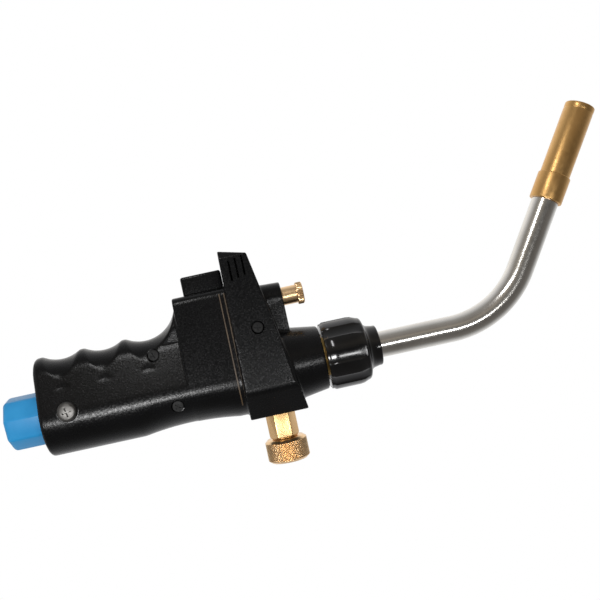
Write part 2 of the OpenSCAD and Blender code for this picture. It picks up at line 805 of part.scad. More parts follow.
module lock_button() {
    color("gold") translate([lock_x, 0, 0]) difference() {
        union() {
            translate([0, 0, lock_pin_end]) cylinder(r = lock_pin_r, h = lock_shoulder_z - lock_pin_end);
            translate([0, 0, lock_shoulder_z]) cylinder(r = lock_r, h = lock_ring_z - lock_shoulder_z);
            translate([0, 0, lock_ring_z]) cylinder(r = lock_ring_r, h = lock_ring_l - 0.5);
            translate([0, 0, lock_ring_z + lock_ring_l - 0.5])
                cylinder(r1 = lock_ring_r, r2 = lock_ring_r - 0.5, h = 0.5);
        }
        translate([0, 0, lock_shoulder_z + 1.2]) sleeve(lock_r + 1, lock_r - 0.5, 0.8);
    }
}

module lock_spring() {
    color("silver") translate([lock_x, 0, lock_guide_z + 1.5])
        coil(2.9, 0.35, lock_shoulder_z - lock_guide_z - 1.5, 5);
}

module lock_clip() {
    color("dimgray") translate([lock_x, 0, lock_shoulder_z + 1.2])
        sleeve(boss_r - wall - 0.4, lock_r - 0.5, 0.8);
}

module ignition_wire() {
    color([0.55, 0.1, 0.1]) sweep(wire_route, wire_r, 8, [1, 0.2, 0.1]);
}

module contact_holder() {
    color("ivory") translate([0, 0, socket_z]) difference() {
        cylinder(r = socket_r - seat_gap, h = 1);
        translate([0, 0, -1]) cylinder(r = 0.8, h = 3);
        for (a = [45:90:315]) rotate([0, 0, a]) translate([3.9, 0, -1]) cylinder(r = 1.7, h = 3);
    }
}

module spark_contact() {
    color("gold") translate([0, 0, socket_z]) cylinder(r = 0.8, h = 3);
}

module jet_nozzle() {
    color("goldenrod") difference() {
        union() {
            translate([0, 0, jet_z - 6]) cylinder(r = jet_r - 0.5, h = 6);
            translate([0, 0, jet_z]) cylinder(r = jet_r, h = 5);
            translate([0, 0, jet_z + 5]) cylinder(r1 = jet_r, r2 = 1.2, h = 3);
        }
        translate([0, 0, jet_z - 7]) cylinder(r = 1.2, h = 13);
        translate([0, 0, jet_z]) cylinder(r = 0.25, h = 10);
    }
}

module burner_spigot() {
    color("goldenrod") difference() {
        union() {
            translate([0, 0, spigot_z - 6]) cylinder(r = 5, h = 7);
            translate([0, 0, spigot_z]) cylinder(r = spigot_thread_r + 1.6, h = 5);
            translate([0, 0, spigot_z + 4]) cylinder(r = neck_r, h = nut_z - spigot_z);
            translate([0, 0, nut_z + 0.2]) cylinder(r = spigot_thread_r, h = spigot_end_z - nut_z - 0.2);
        }
        translate([0, 0, spigot_z - 7]) cylinder(r = 1.4, h = 20);
        translate([0, 0, jet_z - 6]) cylinder(r = jet_r - 0.5, h = 7);
        translate([0, 0, jet_z]) cylinder(r = chamber_r, h = 40);
        translate([0, 0, socket_z]) cylinder(r = socket_r, h = 20);
        for (a = [0:60:300]) rotate([0, 0, a]) along_x(0, air_hole_z) cylinder(r = air_hole_r, h = neck_r + 2);
        translate([-wire_slot_w / 2, wire_y - 1, spigot_z + 5.4]) cube([wire_slot_w, neck_r, 9]);
        translate([-wire_slot_w / 2, wire_side - 2.6, spigot_z - 1]) cube([wire_slot_w, 9, 8]);
    }
}

module collar_nut() {
    color([0.03, 0.03, 0.03]) difference() {
        union() {
            translate([0, 0, nut_z]) cylinder(r1 = nut_r - 0.7, r2 = nut_r, h = 2);
            translate([0, 0, nut_z + 2]) cylinder(r = nut_r, h = nut_grip_l - 6);
            translate([0, 0, nut_neck_z - 4]) cylinder(r1 = nut_r, r2 = nut_r - 1.4, h = 4);
            translate([0, 0, nut_neck_z]) cylinder(r1 = nut_r - 1.4, r2 = nut_r - 5.3, h = 2);
            translate([0, 0, nut_neck_z + 2])
                cylinder(r1 = tube_r + 4.6, r2 = tube_r + 2.6, h = nut_neck_l - 2);
        }
        translate([0, 0, nut_z - 1]) cylinder(r = spigot_thread_r + running_gap, h = nut_shoulder_z - nut_z + 1);
        translate([0, 0, nut_z]) cylinder(r = tube_r + 0.4, h = nut_end_z - nut_z + 1);
        for (i = [0:flute_n - 1]) rotate([0, 0, (i + 0.5) * 360 / flute_n])
            translate([nut_r + flute_r - flute_depth, 0, nut_z - 1]) cylinder(r = flute_r, h = nut_grip_l + 5);
    }
}

// Frame at the end of the bend, +Z along the burner tip
module at_bend_end() {
    translate([tip_x, 0, tip_z]) rotate([0, bend_angle, 0]) children();
}

module tube_flange() {
    color("goldenrod") translate([0, 0, flange_z]) sleeve(tube_flange_r, tube_r, flange_t);
}

module burner_tube() {
    ring = tube_r - tube_wall;
    start = socket_z + 2;
    color([0.75, 0.74, 0.7]) {
        translate([0, 0, start]) sleeve(tube_r, ring, bend_z - start + bend_thinning);
        translate([bend_r, 0, bend_z]) rotate([90, 0, 180]) rotate_extrude(angle = bend_angle)
            translate([bend_r, 0]) difference() {
                circle(tube_r - bend_thinning);
                circle(ring + bend_thinning);
            }
        at_bend_end() translate([0, 0, -bend_thinning])
            sleeve(tube_r, ring, tip_straight + ferrule_l + bend_thinning);
    }
}

module burner_tip() {
    color("peru") at_bend_end() translate([0, 0, tip_straight]) sleeve(tip_r, tube_r, tip_l);
}

module tip_ferrule() {
    color("peru") at_bend_end() translate([0, 0, tip_straight]) sleeve(tip_r + 0.68, tip_r, ferrule_l);
}

module flame_holder() {
    color("silver") at_bend_end() translate([0, 0, tip_straight + ferrule_l + 8]) difference() {
        cylinder(r = tube_r - seat_gap, h = 3);
        translate([0, 0, -1]) cylinder(r = 1.7, h = 5);
        for (a = [0:60:300]) rotate([0, 0, a]) translate([3.9, 0, -1]) cylinder(r = 1.1, h = 5);
    }
}

module electrode() {
    color("silver") sweep(electrode_route, electrode_r, 8, [0, 1, 0]);
}

module electrode_insulators() {
    color("ivory") {
        translate([0, 0, bend_z - 9]) sleeve(tube_r - tube_wall - seat_gap, electrode_r, 4);
        at_bend_end() translate([0, 0, tip_straight - 5])
            sleeve(tube_r - tube_wall - seat_gap, electrode_r, 4);
        at_bend_end() translate([0, 0, tip_straight + ferrule_l + 2]) sleeve(1.65, electrode_r, 11);
    }
}

left_shell();
right_shell();
shell_screws();
inlet_screws();
dust_plug();
inlet_collar();
inlet_body();
inlet_seal();
depressor_pin();
inlet_filter();
regulator_body();
regulator_poppet();
diaphragm();
spring_plate();
regulator_spring();
regulator_cap();
gas_tube();
valve_body();
bonnet();
stem_o_ring();
valve_stem();
flow_knob();
trigger_valve_pin();
pin_o_ring();
piezo_igniter();
piezo_plunger();
trigger();
trigger_spring();
lock_button();
lock_spring();
lock_clip();
ignition_wire();
contact_holder();
spark_contact();
jet_nozzle();
burner_spigot();
collar_nut();
tube_flange();
burner_tube();
tip_ferrule();
burner_tip();
flame_holder();
electrode();
electrode_insulators();
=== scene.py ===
import bpy
import bmesh
import json
import math
from mathutils import Matrix, Vector


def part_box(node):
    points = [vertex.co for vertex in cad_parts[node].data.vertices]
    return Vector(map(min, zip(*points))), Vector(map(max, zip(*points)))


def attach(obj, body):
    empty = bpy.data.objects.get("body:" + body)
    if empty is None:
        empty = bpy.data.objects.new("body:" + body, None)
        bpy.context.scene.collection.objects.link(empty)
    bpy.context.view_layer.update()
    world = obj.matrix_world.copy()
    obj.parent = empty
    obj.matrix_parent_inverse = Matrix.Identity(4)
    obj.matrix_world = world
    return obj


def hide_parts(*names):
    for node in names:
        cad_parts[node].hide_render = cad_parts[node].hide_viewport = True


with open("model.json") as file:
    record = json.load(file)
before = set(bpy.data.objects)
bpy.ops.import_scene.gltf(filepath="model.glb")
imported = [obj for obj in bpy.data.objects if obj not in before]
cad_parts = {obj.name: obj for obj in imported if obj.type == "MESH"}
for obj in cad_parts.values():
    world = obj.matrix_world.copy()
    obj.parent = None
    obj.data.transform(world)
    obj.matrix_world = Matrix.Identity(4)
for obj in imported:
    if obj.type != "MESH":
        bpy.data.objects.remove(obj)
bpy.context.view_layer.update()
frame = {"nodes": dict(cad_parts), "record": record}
print("frame loaded:", len(frame["nodes"]), "nodes")

# Everything is modelled in millimetres in the frame's own axes,
# and scaled to metres when a piece is finished.
mm = 0.001


def spanOf(node):
    low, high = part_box(node)
    return Vector(low) / mm, Vector(high) / mm


# mesh helpers

def arc(centreR, centreZ, radius, startDeg, endDeg, steps=6):
    points = []
    for i in range(steps + 1):
        a = math.radians(startDeg + (endDeg - startDeg) * i / steps)
        points.append((centreR + radius * math.cos(a), centreZ + radius * math.sin(a)))
    return points


def turned(profile, steps=96, closed=False):
    # profile points are (radius, height) and turn about Z
    bm = bmesh.new()
    verts = [bm.verts.new((r, 0, z)) for r, z in profile]
    pairs = list(zip(verts, verts[1:]))
    if closed:
        pairs.append((verts[-1], verts[0]))
    edges = [bm.edges.new(pair) for pair in pairs]
    bmesh.ops.spin(bm, geom=verts + edges, cent=(0, 0, 0), axis=(0, 0, 1), dvec=(0, 0, 0),
                   angle=2 * math.pi, steps=steps, use_merge=True)
    bmesh.ops.remove_doubles(bm, verts=bm.verts, dist=0.0005)
    bmesh.ops.recalc_face_normals(bm, faces=bm.faces)
    return bm


def prism(outline, height, z=0):
    # outline is a list of (x, y) corners, pushed up by height
    bm = bmesh.new()
    face = bm.faces.new([bm.verts.new((x, y, z)) for x, y in outline])
    pushed = bmesh.ops.extrude_face_region(bm, geom=[face])["geom"]
    pushedVerts = [g for g in pushed if isinstance(g, bmesh.types.BMVert)]
    bmesh.ops.translate(bm, vec=(0, 0, height), verts=pushedVerts)
    bmesh.ops.recalc_face_normals(bm, faces=bm.faces)
    return bm


def block(low, high):
    bm = bmesh.new()
    bmesh.ops.create_cube(bm, size=1)
    low, high = Vector(low), Vector(high)
    bmesh.ops.scale(bm, vec=high - low, verts=bm.verts)
    bmesh.ops.translate(bm, vec=(low + high) / 2, verts=bm.verts)
    return bm


def rod(radius, low, high, axis="Z", centre=(0, 0), steps=64, radiusEnd=None):
    # cylinder or cone from low to high along an axis; centre is its place on the other two axes
    bm = bmesh.new()
    if radiusEnd is None:
        radiusEnd = radius
    bmesh.ops.create_cone(bm, segments=steps, radius1=radius, radius2=radiusEnd, depth=high - low, cap_ends=True)
    bmesh.ops.translate(bm, vec=(0, 0, (low + high) / 2), verts=bm.verts)
    if axis == "X":
        bmesh.ops.rotate(bm, cent=(0, 0, 0), matrix=Matrix.Rotation(math.pi / 2, 3, "Y"), verts=bm.verts)
        bmesh.ops.translate(bm, vec=(0, centre[0], centre[1]), verts=bm.verts)
    elif axis == "Y":
        bmesh.ops.rotate(bm, cent=(0, 0, 0), matrix=Matrix.Rotation(-math.pi / 2, 3, "X"), verts=bm.verts)
        bmesh.ops.translate(bm, vec=(centre[0], 0, centre[1]), verts=bm.verts)
    else:
        bmesh.ops.translate(bm, vec=(centre[0], centre[1], 0), verts=bm.verts)
    return bm


def shrunk(v, depth):
    # pulls a vertex towards the Z axis
    r = math.hypot(v.co.x, v.co.y)
    v.co.x *= (r - depth) / r
    v.co.y *= (r - depth) / r


def moved(bm, matrix):
    bmesh.ops.transform(bm, matrix=matrix, verts=bm.verts)
    return bm


def joined(lumps):
    # several bmeshes in one
    whole = bmesh.new()
    for lump in lumps:
        mesh = bpy.data.meshes.new("lump")
        lump.to_mesh(mesh)
        lump.free()
        whole.from_mesh(mesh)
        bpy.data.meshes.remove(mesh)
    return whole


def asObject(bm, name="work"):
    mesh = bpy.data.meshes.new(name)
    bm.to_mesh(mesh)
    bm.free()
    thing = bpy.data.objects.new(name, mesh)
    bpy.context.collection.objects.link(thing)
    return thing


def applied(thing):
    # the object's modifiers, made part of its mesh
    graph = bpy.context.evaluated_depsgraph_get()
    mesh = bpy.data.meshes.new_from_object(thing.evaluated_get(graph))
    old = thing.data
    thing.modifiers.clear()
    thing.data = mesh
    bpy.data.meshes.remove(old)
    return thing


def combine(thing, tool, operation="DIFFERENCE"):
    other = asObject(tool, "tool")
    step = thing.modifiers.new("combine", "BOOLEAN")
    step.object = other
    step.operation = operation
    step.solver = "MANIFOLD"
    applied(thing)
    mesh = other.data
    bpy.data.objects.remove(other)
    bpy.data.meshes.remove(mesh)
    return thing


def backToBmesh(thing):
    bm = bmesh.new()
    bm.from_mesh(thing.data)
    mesh = thing.data
    bpy.data.objects.remove(thing)
    bpy.data.meshes.remove(mesh)
    return bm


def beveled(bm, offset, segments=3, minAngle=25, pick=None):
    # rounds the edges that fold by more than minAngle
    sharp = [e for e in bm.edges if e.is_manifold and math.degrees(e.calc_face_angle(0)) > minAngle
             and (pick is None or pick(e))]
    bmesh.ops.bevel(bm, geom=sharp, offset=offset, offset_type="OFFSET", segments=segments, profile=0.5,
                    affect="EDGES", clamp_overlap=True, material=-1)
    return bm


def makePiece(name, bm, material, body, nodes=(), sharpDeg=32):
    bmesh.ops.remove_doubles(bm, verts=bm.verts, dist=0.0005)
    bmesh.ops.recalc_face_normals(bm, faces=bm.faces)
    for face in bm.faces:
        face.smooth = True
    for edge in bm.edges:
        edge.smooth = edge.is_manifold and edge.calc_face_angle(0) < math.radians(sharpDeg)
    bmesh.ops.scale(bm, vec=(mm, mm, mm), verts=bm.verts)
    mesh = bpy.data.meshes.new(name)
    bm.to_mesh(mesh)
    bm.free()
    piece = bpy.data.objects.new(name, mesh)
    bpy.context.collection.objects.link(piece)
    mesh.materials.append(material)
    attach(piece, body)
    if nodes:
        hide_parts(*nodes)
    print("made", name, len(mesh.polygons), "faces")
    return piece


# material helpers

def newMaterial(name, **sockets):
    material = bpy.data.materials.new(name)
    material.use_nodes = True
    shader = material.node_tree.nodes["Principled BSDF"]
    for key, value in sockets.items():
        shader.inputs[key.replace("_", " ")].default_value = value
    return material, material.node_tree, shader


def objectNoise(tree, scale, detail=3, roughness=0.5, stretch=None):
    place = tree.nodes.new("ShaderNodeTexCoord")
    texture = tree.nodes.new("ShaderNodeTexNoise")
    texture.inputs["Scale"].default_value = scale
    texture.inputs["Detail"].default_value = detail
    texture.inputs["Roughness"].default_value = roughness
    source = place.outputs["Object"]
    if stretch:
        mapping = tree.nodes.new("ShaderNodeMapping")
        mapping.inputs["Scale"].default_value = stretch
        tree.links.new(source, mapping.inputs["Vector"])
        source = mapping.outputs["Vector"]
    tree.links.new(source, texture.inputs["Vector"])
    return texture.outputs["Fac"]


def ramp(tree, factor, stops):
    node = tree.nodes.new("ShaderNodeValToRGB")
    band = node.color_ramp
    while len(band.elements) < len(stops):
        band.elements.new(0.5)
    for element, (place, colour) in zip(band.elements, stops):
        element.position = place
        element.color = (*colour, 1)
    tree.links.new(factor, node.inputs["Fac"])
    return node.outputs["Color"]


def spread(tree, factor, low, high, fromLow=0.3, fromHigh=0.7):
    node = tree.nodes.new("ShaderNodeMapRange")
    node.inputs["From Min"].default_value = fromLow
    node.inputs["From Max"].default_value = fromHigh
    node.inputs["To Min"].default_value = low
    node.inputs["To Max"].default_value = high
    tree.links.new(factor, node.inputs["Value"])
    return node.outputs["Result"]


def bump(tree, shader, height, distance, strength=1.0):
    node = tree.nodes.new("ShaderNodeBump")
    node.inputs["Distance"].default_value = distance
    node.inputs["Strength"].default_value = strength
    tree.links.new(height, node.inputs["Height"])
    tree.links.new(node.outputs["Normal"], shader.inputs["Normal"])


def mouldedBlack():
    material, tree, shader = newMaterial("mouldedBlack", Specular_IOR_Level=0.22)
    grain = objectNoise(tree, 1300, 1, 0.5)
    cloud = objectNoise(tree, 60, 3)
    tree.links.new(ramp(tree, cloud, [(0.3, (0.0022, 0.0023, 0.0026)), (0.7, (0.0036, 0.0038, 0.0042))]),
                   shader.inputs["Base Color"])
    tree.links.new(spread(tree, grain, 0.18, 0.3), shader.inputs["Roughness"])
    bump(tree, shader, grain, 0.00005, 1.0)
    return material


def seamPaintedWarmReflection():
    # the brown base colour is a painted warm reflection on the seam ribs, not lit by a lamp
    material, tree, shader = newMaterial("seamPaintedWarmReflection")
    cloud = objectNoise(tree, 150, 3)
    tree.links.new(ramp(tree, cloud, [(0.3, (0.05, 0.03, 0.014)), (0.7, (0.09, 0.058, 0.03))]),
                   shader.inputs["Base Color"])
    tree.links.new(spread(tree, cloud, 0.35, 0.5), shader.inputs["Roughness"])
    return material


def glossBlack():
    material, tree, shader = newMaterial("glossBlack")
    cloud = objectNoise(tree, 120, 2)
    tree.links.new(ramp(tree, cloud, [(0.3, (0.002, 0.002, 0.0022)), (0.7, (0.0035, 0.0035, 0.004))]),
                   shader.inputs["Base Color"])
    tree.links.new(spread(tree, cloud, 0.1, 0.2), shader.inputs["Roughness"])
    bump(tree, shader, objectNoise(tree, 240, 2), 0.00006, 0.5)
    return material


def blackSteel():
    material, tree, shader = newMaterial("blackSteel", Specular_IOR_Level=0.2)
    cloud = objectNoise(tree, 500, 3)
    tree.links.new(ramp(tree, cloud, [(0.3, (0.002, 0.002, 0.002)), (0.7, (0.005, 0.005, 0.005))]),
                   shader.inputs["Base Color"])
    tree.links.new(spread(tree, cloud, 0.42, 0.58), shader.inputs["Roughness"])
    return material


def bluePlastic():
    material, tree, shader = newMaterial("bluePlastic")
    cloud = objectNoise(tree, 90, 3)
    tree.links.new(ramp(tree, cloud, [(0.3, (0.012, 0.25, 0.56)), (0.7, (0.02, 0.3, 0.64))]),
                   shader.inputs["Base Color"])
    tree.links.new(spread(tree, cloud, 0.34, 0.46), shader.inputs["Roughness"])
    bump(tree, shader, objectNoise(tree, 900, 2), 0.00003, 0.6)
    return material


def metal(name, dark, light, roughLow, roughHigh, stretch=(1, 1, 1), scale=400, depth=0.00002):
    # machined or drawn metal: colour drifts a little, roughness follows fine tool marks
    material, tree, shader = newMaterial(name, Metallic=1.0)
    cloud = objectNoise(tree, 70, 3)
    marks = objectNoise(tree, scale, 3, 0.6, stretch)
    tree.links.new(ramp(tree, cloud, [(0.3, dark), (0.7, light)]), shader.inputs["Base Color"])
    tree.links.new(spread(tree, marks, roughLow, roughHigh), shader.inputs["Roughness"])
    bump(tree, shader, marks, depth, 0.6)
    return material


def plainFinish(name, dark, light, roughLow, roughHigh, scale=300, depth=0.00003):
    # rubber, ceramic and hidden mouldings
    material, tree, shader = newMaterial(name)
    cloud = objectNoise(tree, scale, 3)
    tree.links.new(ramp(tree, cloud, [(0.3, dark), (0.7, light)]), shader.inputs["Base Color"])
    tree.links.new(spread(tree, cloud, roughLow, roughHigh), shader.inputs["Roughness"])
    bump(tree, shader, cloud, depth, 0.5)
    return material


finishes = {
    "black_plastic": mouldedBlack(),
    "gloss_black": glossBlack(),
    "blue_plastic": bluePlastic(),
    "black_steel": blackSteel(),
    "plain_brass": metal("plainBrass", (0.55, 0.36, 0.12), (0.68, 0.47, 0.18), 0.25, 0.4),
    "bright_brass": metal("brightBrass", (0.68, 0.43, 0.19), (0.77, 0.51, 0.25), 0.24, 0.34, (1, 1, 6)),
    "knurled_brass": metal("knurledBrass", (0.78, 0.53, 0.28), (0.86, 0.6, 0.34), 0.26, 0.34, depth=0.000005),
    "tip_brass": metal("tipBrass", (0.62, 0.36, 0.13), (0.72, 0.44, 0.17), 0.3, 0.42, scale=600),
    "stainless_tube": metal("stainlessTube", (0.62, 0.6, 0.56), (0.72, 0.7, 0.66), 0.16, 0.22,
                            scale=700, depth=0.000002),
    "plated_steel": metal("platedSteel", (0.07, 0.068, 0.065), (0.12, 0.117, 0.112), 0.36, 0.48),
    "spring_steel": metal("springSteel", (0.45, 0.45, 0.44), (0.6, 0.6, 0.58), 0.25, 0.4),
    "copper_tube": metal("copperTube", (0.6, 0.27, 0.14), (0.72, 0.36, 0.2), 0.22, 0.36),
    "seal_rubber": plainFinish("sealRubber", (0.008, 0.008, 0.008), (0.02, 0.02, 0.02), 0.6, 0.8),
    "wire_cover": plainFinish("wireCover", (0.22, 0.015, 0.012), (0.32, 0.025, 0.02), 0.35, 0.5),
    "ceramic": plainFinish("ceramic", (0.62, 0.58, 0.48), (0.74, 0.7, 0.6), 0.3, 0.5),
    "igniter_plastic": plainFinish("igniterPlastic", (0.5, 0.48, 0.42), (0.6, 0.58, 0.52), 0.4, 0.6),
    "plunger_plastic": plainFinish("plungerPlastic", (0.4, 0.04, 0.02), (0.5, 0.06, 0.04), 0.4, 0.55),
}
slotOf = {row["node"]: row["material_slot"] for row in frame["record"]["subparts"]}
for nodeName, nodeObject in frame["nodes"].items():
    nodeObject.data.materials.clear()
    nodeObject.data.materials.append(finishes[slotOf[nodeName]])
print("finishes made:", len(finishes))


# black body shells

shell = {
    "voxel": 0.45, "wall": 2.5,
    "backX": -1.8, "backR": 17.5, "fingerX": 16.4, "fingerR": 12.5,
    "grooveAxisX": 12.7, "grooveRing": 31.2, "grooveR": 17.7, "grooveZ": (10.75, 31.5, 52.25),
    "waistR": 142, "waistDepth": 1.9, "waistZ": 66.5,
    "housingZ": 69.5, "housingTop": 43.2, "housingHalf": 13, "housingCorner": 4,
    "throatTop": 39.2, "throatR": 11,
    "headZ": 95.5, "headTopL": 13.3, "tiltDeg": 10, "roofSlope": 0.2556, "leftSlope": 0.0143,
    "headHalf": 20, "footHalf": 10, "headLean": 3.6, "creaseX": -8, "frontBevel": 1.8, "roofBevel": 3.5,
    "bossX": 33, "bossR": 8.2, "bossTipR": 7.3, "bossZ": 121.8,
    "snoutR": 15.4, "snoutL": 24, "snoutTaper": 0.16, "snoutBevel": 0.5,
    "endRound": 1.2, "fingerEndRound": 2.6, "gripSmooth": 5, "smooth": 3, "webHalf": 0.75,
}
openings = {  # holes and slots cut through the shells
    "plugR": 13.55, "windowHalf": 7, "windowLow": 75.3, "windowHigh": 95, "gap": 0.3,
    "bonnetGap": 1.2, "lockR": 4.5, "snoutR": 9.5, "screwX": 2, "screwZ": 11.3, "screwR": 2.2, "seatR": 5.45,
}
vents = {"count": 3, "belowRoof": 15.1, "low": 3.8, "step": 0.8, "pitch": 3.2, "length": 9.5, "width": 0.9,
         "fromY": 12.5, "toY": 21.5}
shellLow, shellHigh = spanOf("left_shell")
endZ, snoutEndZ = shellLow.z, spanOf("collar_nut")[0].z - 1
headFoot, headTop = shellLow.x, shellHigh.x


def hullPoint(circles, angle):
    # point of the hull of some circles (x, y, radius) that faces the given angle
    n = Vector((math.cos(angle), math.sin(angle)))
    x, y, r = max(circles, key=lambda c: c[0] * n.x + c[1] * n.y + c[2])
    return x + r * n.x, y + r * n.y


def hullPrism(circles, low, high, steps=128):
    # half a step of turn keeps the outline symmetric
    outline = [hullPoint(circles, 2 * math.pi * (i + 0.5) / steps) for i in range(steps)]
    bm = prism(outline, high - low, low)
    bmesh.ops.remove_doubles(bm, verts=bm.verts, dist=0.01)
    return bm


def gripLump(inset, low, high):
    s = shell
    fingerR = s["fingerR"] if inset == 0 else s["fingerR"] - 2.7 - inset
    return hullPrism([(s["backX"], 0, s["backR"] - inset), (s["fingerX"], 0, fingerR)], low, high)


def housingLump(inset, low, high):
    s = shell
    corner = s["housingCorner"] - inset
    x = s["housingTop"] - inset - corner
    y = s["housingHalf"] - inset - corner
    return hullPrism([(s["backX"], 0, s["backR"] + 0.2 - inset), (x, y, corner), (x, -y, corner)], low, high)


def grooveTool(z):
    # half a ring that hollows one finger groove
    s = shell
    bm = bmesh.new()
    made = bmesh.ops.create_circle(bm, segments=72, radius=s["grooveR"], cap_ends=False)
    bmesh.ops.rotate(bm, cent=(0, 0, 0), matrix=Matrix.Rotation(math.pi / 2, 3, "X"), verts=bm.verts)
    bmesh.ops.translate(bm, vec=(s["grooveRing"], 0, 0), verts=bm.verts)
    bmesh.ops.rotate(bm, cent=(0, 0, 0), matrix=Matrix.Rotation(-math.pi / 2, 3, "Z"), verts=bm.verts)
    bmesh.ops.spin(bm, geom=list(bm.verts) + list(bm.edges), cent=(0, 0, 0), axis=(0, 0, 1), dvec=(0, 0, 0),
                   angle=math.pi, steps=96)
    bmesh.ops.holes_fill(bm, edges=[e for e in bm.edges if e.is_boundary], sides=0)
    bmesh.ops.recalc_face_normals(bm, faces=bm.faces)
    bmesh.ops.translate(bm, vec=(s["grooveAxisX"], 0, z), verts=bm.verts)
    return bm


def headLump(inset):
    s = shell
    slope = math.tan(math.radians(s["tiltDeg"]))
    left = s["headZ"] - headTop * s["leftSlope"] + inset
    roof = headTop - inset * 1.03
    front = s["headZ"] + s["headTopL"] + (headTop - s["roofSlope"] * s["headTopL"]) * slope - inset * 1.015
    cornerX = (roof - s["roofSlope"] * (front - s["headZ"])) / (1 - s["roofSlope"] * slope)
    foot = headFoot + inset
    # drawn as (z, x), then stood up so that the push runs along Y
    outline = [(left + foot * s["leftSlope"], foot), (front - foot * slope, foot),
               (front - cornerX * slope, cornerX), (left + roof * s["leftSlope"], roof)]
    side = prism(outline, 2 * (s["headHalf"] - inset), -(s["headHalf"] - inset))
    moved(side, Matrix(((0, 1, 0, 0), (0, 0, 1, 0), (1, 0, 0, 0), (0, 0, 0, 1))))
    if inset == 0:
        def frontEdge(e):
            a, b = (v.co for v in e.verts)
            return abs(a.y - b.y) < 1 and min(a.z, b.z) > s["headZ"] + 8 and abs(a.x - b.x) > 40
        beveled(side, s["frontBevel"], 1, pick=frontEdge)
    half = s["headHalf"] - inset
    footHalf = s["footHalf"] - inset * 0.55
    bevel = s["roofBevel"]
    top = half - s["headLean"]
    outer = [(headFoot - 1, footHalf), (headFoot, footHalf), (s["creaseX"] - 1.3, half - 1),
             (s["creaseX"], half - 0.3), (s["creaseX"] + 1.6, half - 0.15), (headTop - bevel, top),
             (headTop + 1, top - bevel)]
    mirrored = [(x, -y) for x, y in reversed(outer)]
    front = prism(outer + mirrored, 60, s["headZ"] - 5)
    body = asObject(side)
    combine(body, front, "INTERSECT")
    return backToBmesh(body)


def snoutRadius(z):
    return shell["snoutR"] + (snoutEndZ - z) * shell["snoutTaper"]


def soften(bm, verts, times):
    for i in range(times):
        bmesh.ops.smooth_vert(bm, verts=verts, factor=0.5, use_axis_x=True, use_axis_y=True, use_axis_z=True)


def outerSkin():
    s = shell
    grip = asObject(gripLump(0, endZ, s["headZ"] + 2))
    throatEnds = [(s["throatTop"] - s["throatR"], 0, s["throatR"]), (s["fingerX"], 0, s["throatR"])]
    throat = asObject(hullPrism(throatEnds, 56, s["housingZ"] + 1))
    for z in s["grooveZ"]:
        combine(grip, grooveTool(z))
    combine(throat, grooveTool(s["grooveZ"][-1]))
    z1 = snoutEndZ - s["snoutBevel"]
    lumps = [backToBmesh(grip), backToBmesh(throat),
             housingLump(0, s["housingZ"], s["headZ"] + 2),
             headLump(0),
             rod(s["bossR"], s["headZ"] + 8, s["bossZ"], centre=(s["bossX"], 0), radiusEnd=s["bossTipR"]),
             block((2, -s["bossTipR"], s["headZ"] + 8), (s["bossX"], s["bossTipR"], s["bossZ"])),
             rod(snoutRadius(z1 - s["snoutL"]), z1 - s["snoutL"], z1, radiusEnd=snoutRadius(z1), steps=128),
             rod(snoutRadius(z1), z1 - 0.01, snoutEndZ, radiusEnd=s["snoutR"] - s["snoutBevel"], steps=128)]
    skin = asObject(joined(lumps), "skin")
    step = skin.modifiers.new("skin", "REMESH")
    step.mode = "VOXEL"
    step.voxel_size = s["voxel"]
    applied(skin)
    bm = backToBmesh(skin)
    roundBack(bm)
    soften(bm, [v for v in bm.verts if v.co.z < s["housingZ"] - 1.5], s["gripSmooth"])
    soften(bm, [v for v in bm.verts if v.co.z < snoutEndZ - 3], s["smooth"])
    return bm


def roundBack(bm):
    # hollows the back of the grip, and rounds the rim of its open end
    s = shell
    for v in bm.verts:
        off = Vector((v.co.x - s["backX"], v.co.y))
        if v.co.z < s["headZ"] - 1 and off.x < 0 and off.length > 1:
            facing = -off.x / off.length
            depth = s["waistDepth"] - (v.co.z - s["waistZ"]) ** 2 / (2 * s["waistR"])
            move = off.normalized() * max(depth, 0) * facing * facing * (3 - 2 * facing)
            v.co.x -= move.x
            v.co.y -= move.y
        up = v.co.z - endZ
        share = min(max((v.co.x - 5) / 15, 0), 1)
        rounding = s["endRound"] + (s["fingerEndRound"] - s["endRound"]) * share
        if up < rounding:
            back = rounding - up
            pull = rounding - math.sqrt(max(rounding ** 2 - back * back, 0))
            middle = Vector((4.5, 0))
            out = Vector((v.co.x, v.co.y)) - middle
            if out.length > 10:
                out -= out.normalized() * pull * min((out.length - 10) / 5, 1)
                v.co.x, v.co.y = middle.x + out.x, out.y


def innerRoom():
    # hollow inside the shells, where the works sit
    s = shell
    wall = s["wall"]
    collarReach = spanOf("inlet_body")[1].x
    z1 = snoutEndZ - wall
    room = asObject(gripLump(wall, 0, s["headZ"] + 3.5))
    waistX = s["backX"] - s["backR"] + s["waistDepth"] - s["waistR"]
    combine(room, rod(s["waistR"] + wall, -60, 60, axis="Y", centre=(waistX, s["waistZ"]), steps=512))
    combine(room, rod(collarReach + 0.05, 0, 15.1, steps=128), "UNION")
    combine(room, housingLump(wall, s["housingZ"] + wall, s["headZ"] + 3.4), "UNION")
    combine(room, headLump(wall), "UNION")
    combine(room, rod(s["bossTipR"] - wall + 0.5, s["headZ"] + 7, s["bossZ"] - wall,
                      centre=(s["bossX"], 0)), "UNION")
    combine(room, rod(snoutRadius(z1 - s["snoutL"]) - wall, z1 - s["snoutL"], z1,
                      radiusEnd=snoutRadius(z1) - wall, steps=128), "UNION")
    # a web is left standing behind the vents
    combine(room, block((headTop - 17, -s["webHalf"], s["headZ"]),
                        (headTop + 2, s["webHalf"], s["headZ"] + 26)))
    return backToBmesh(room)


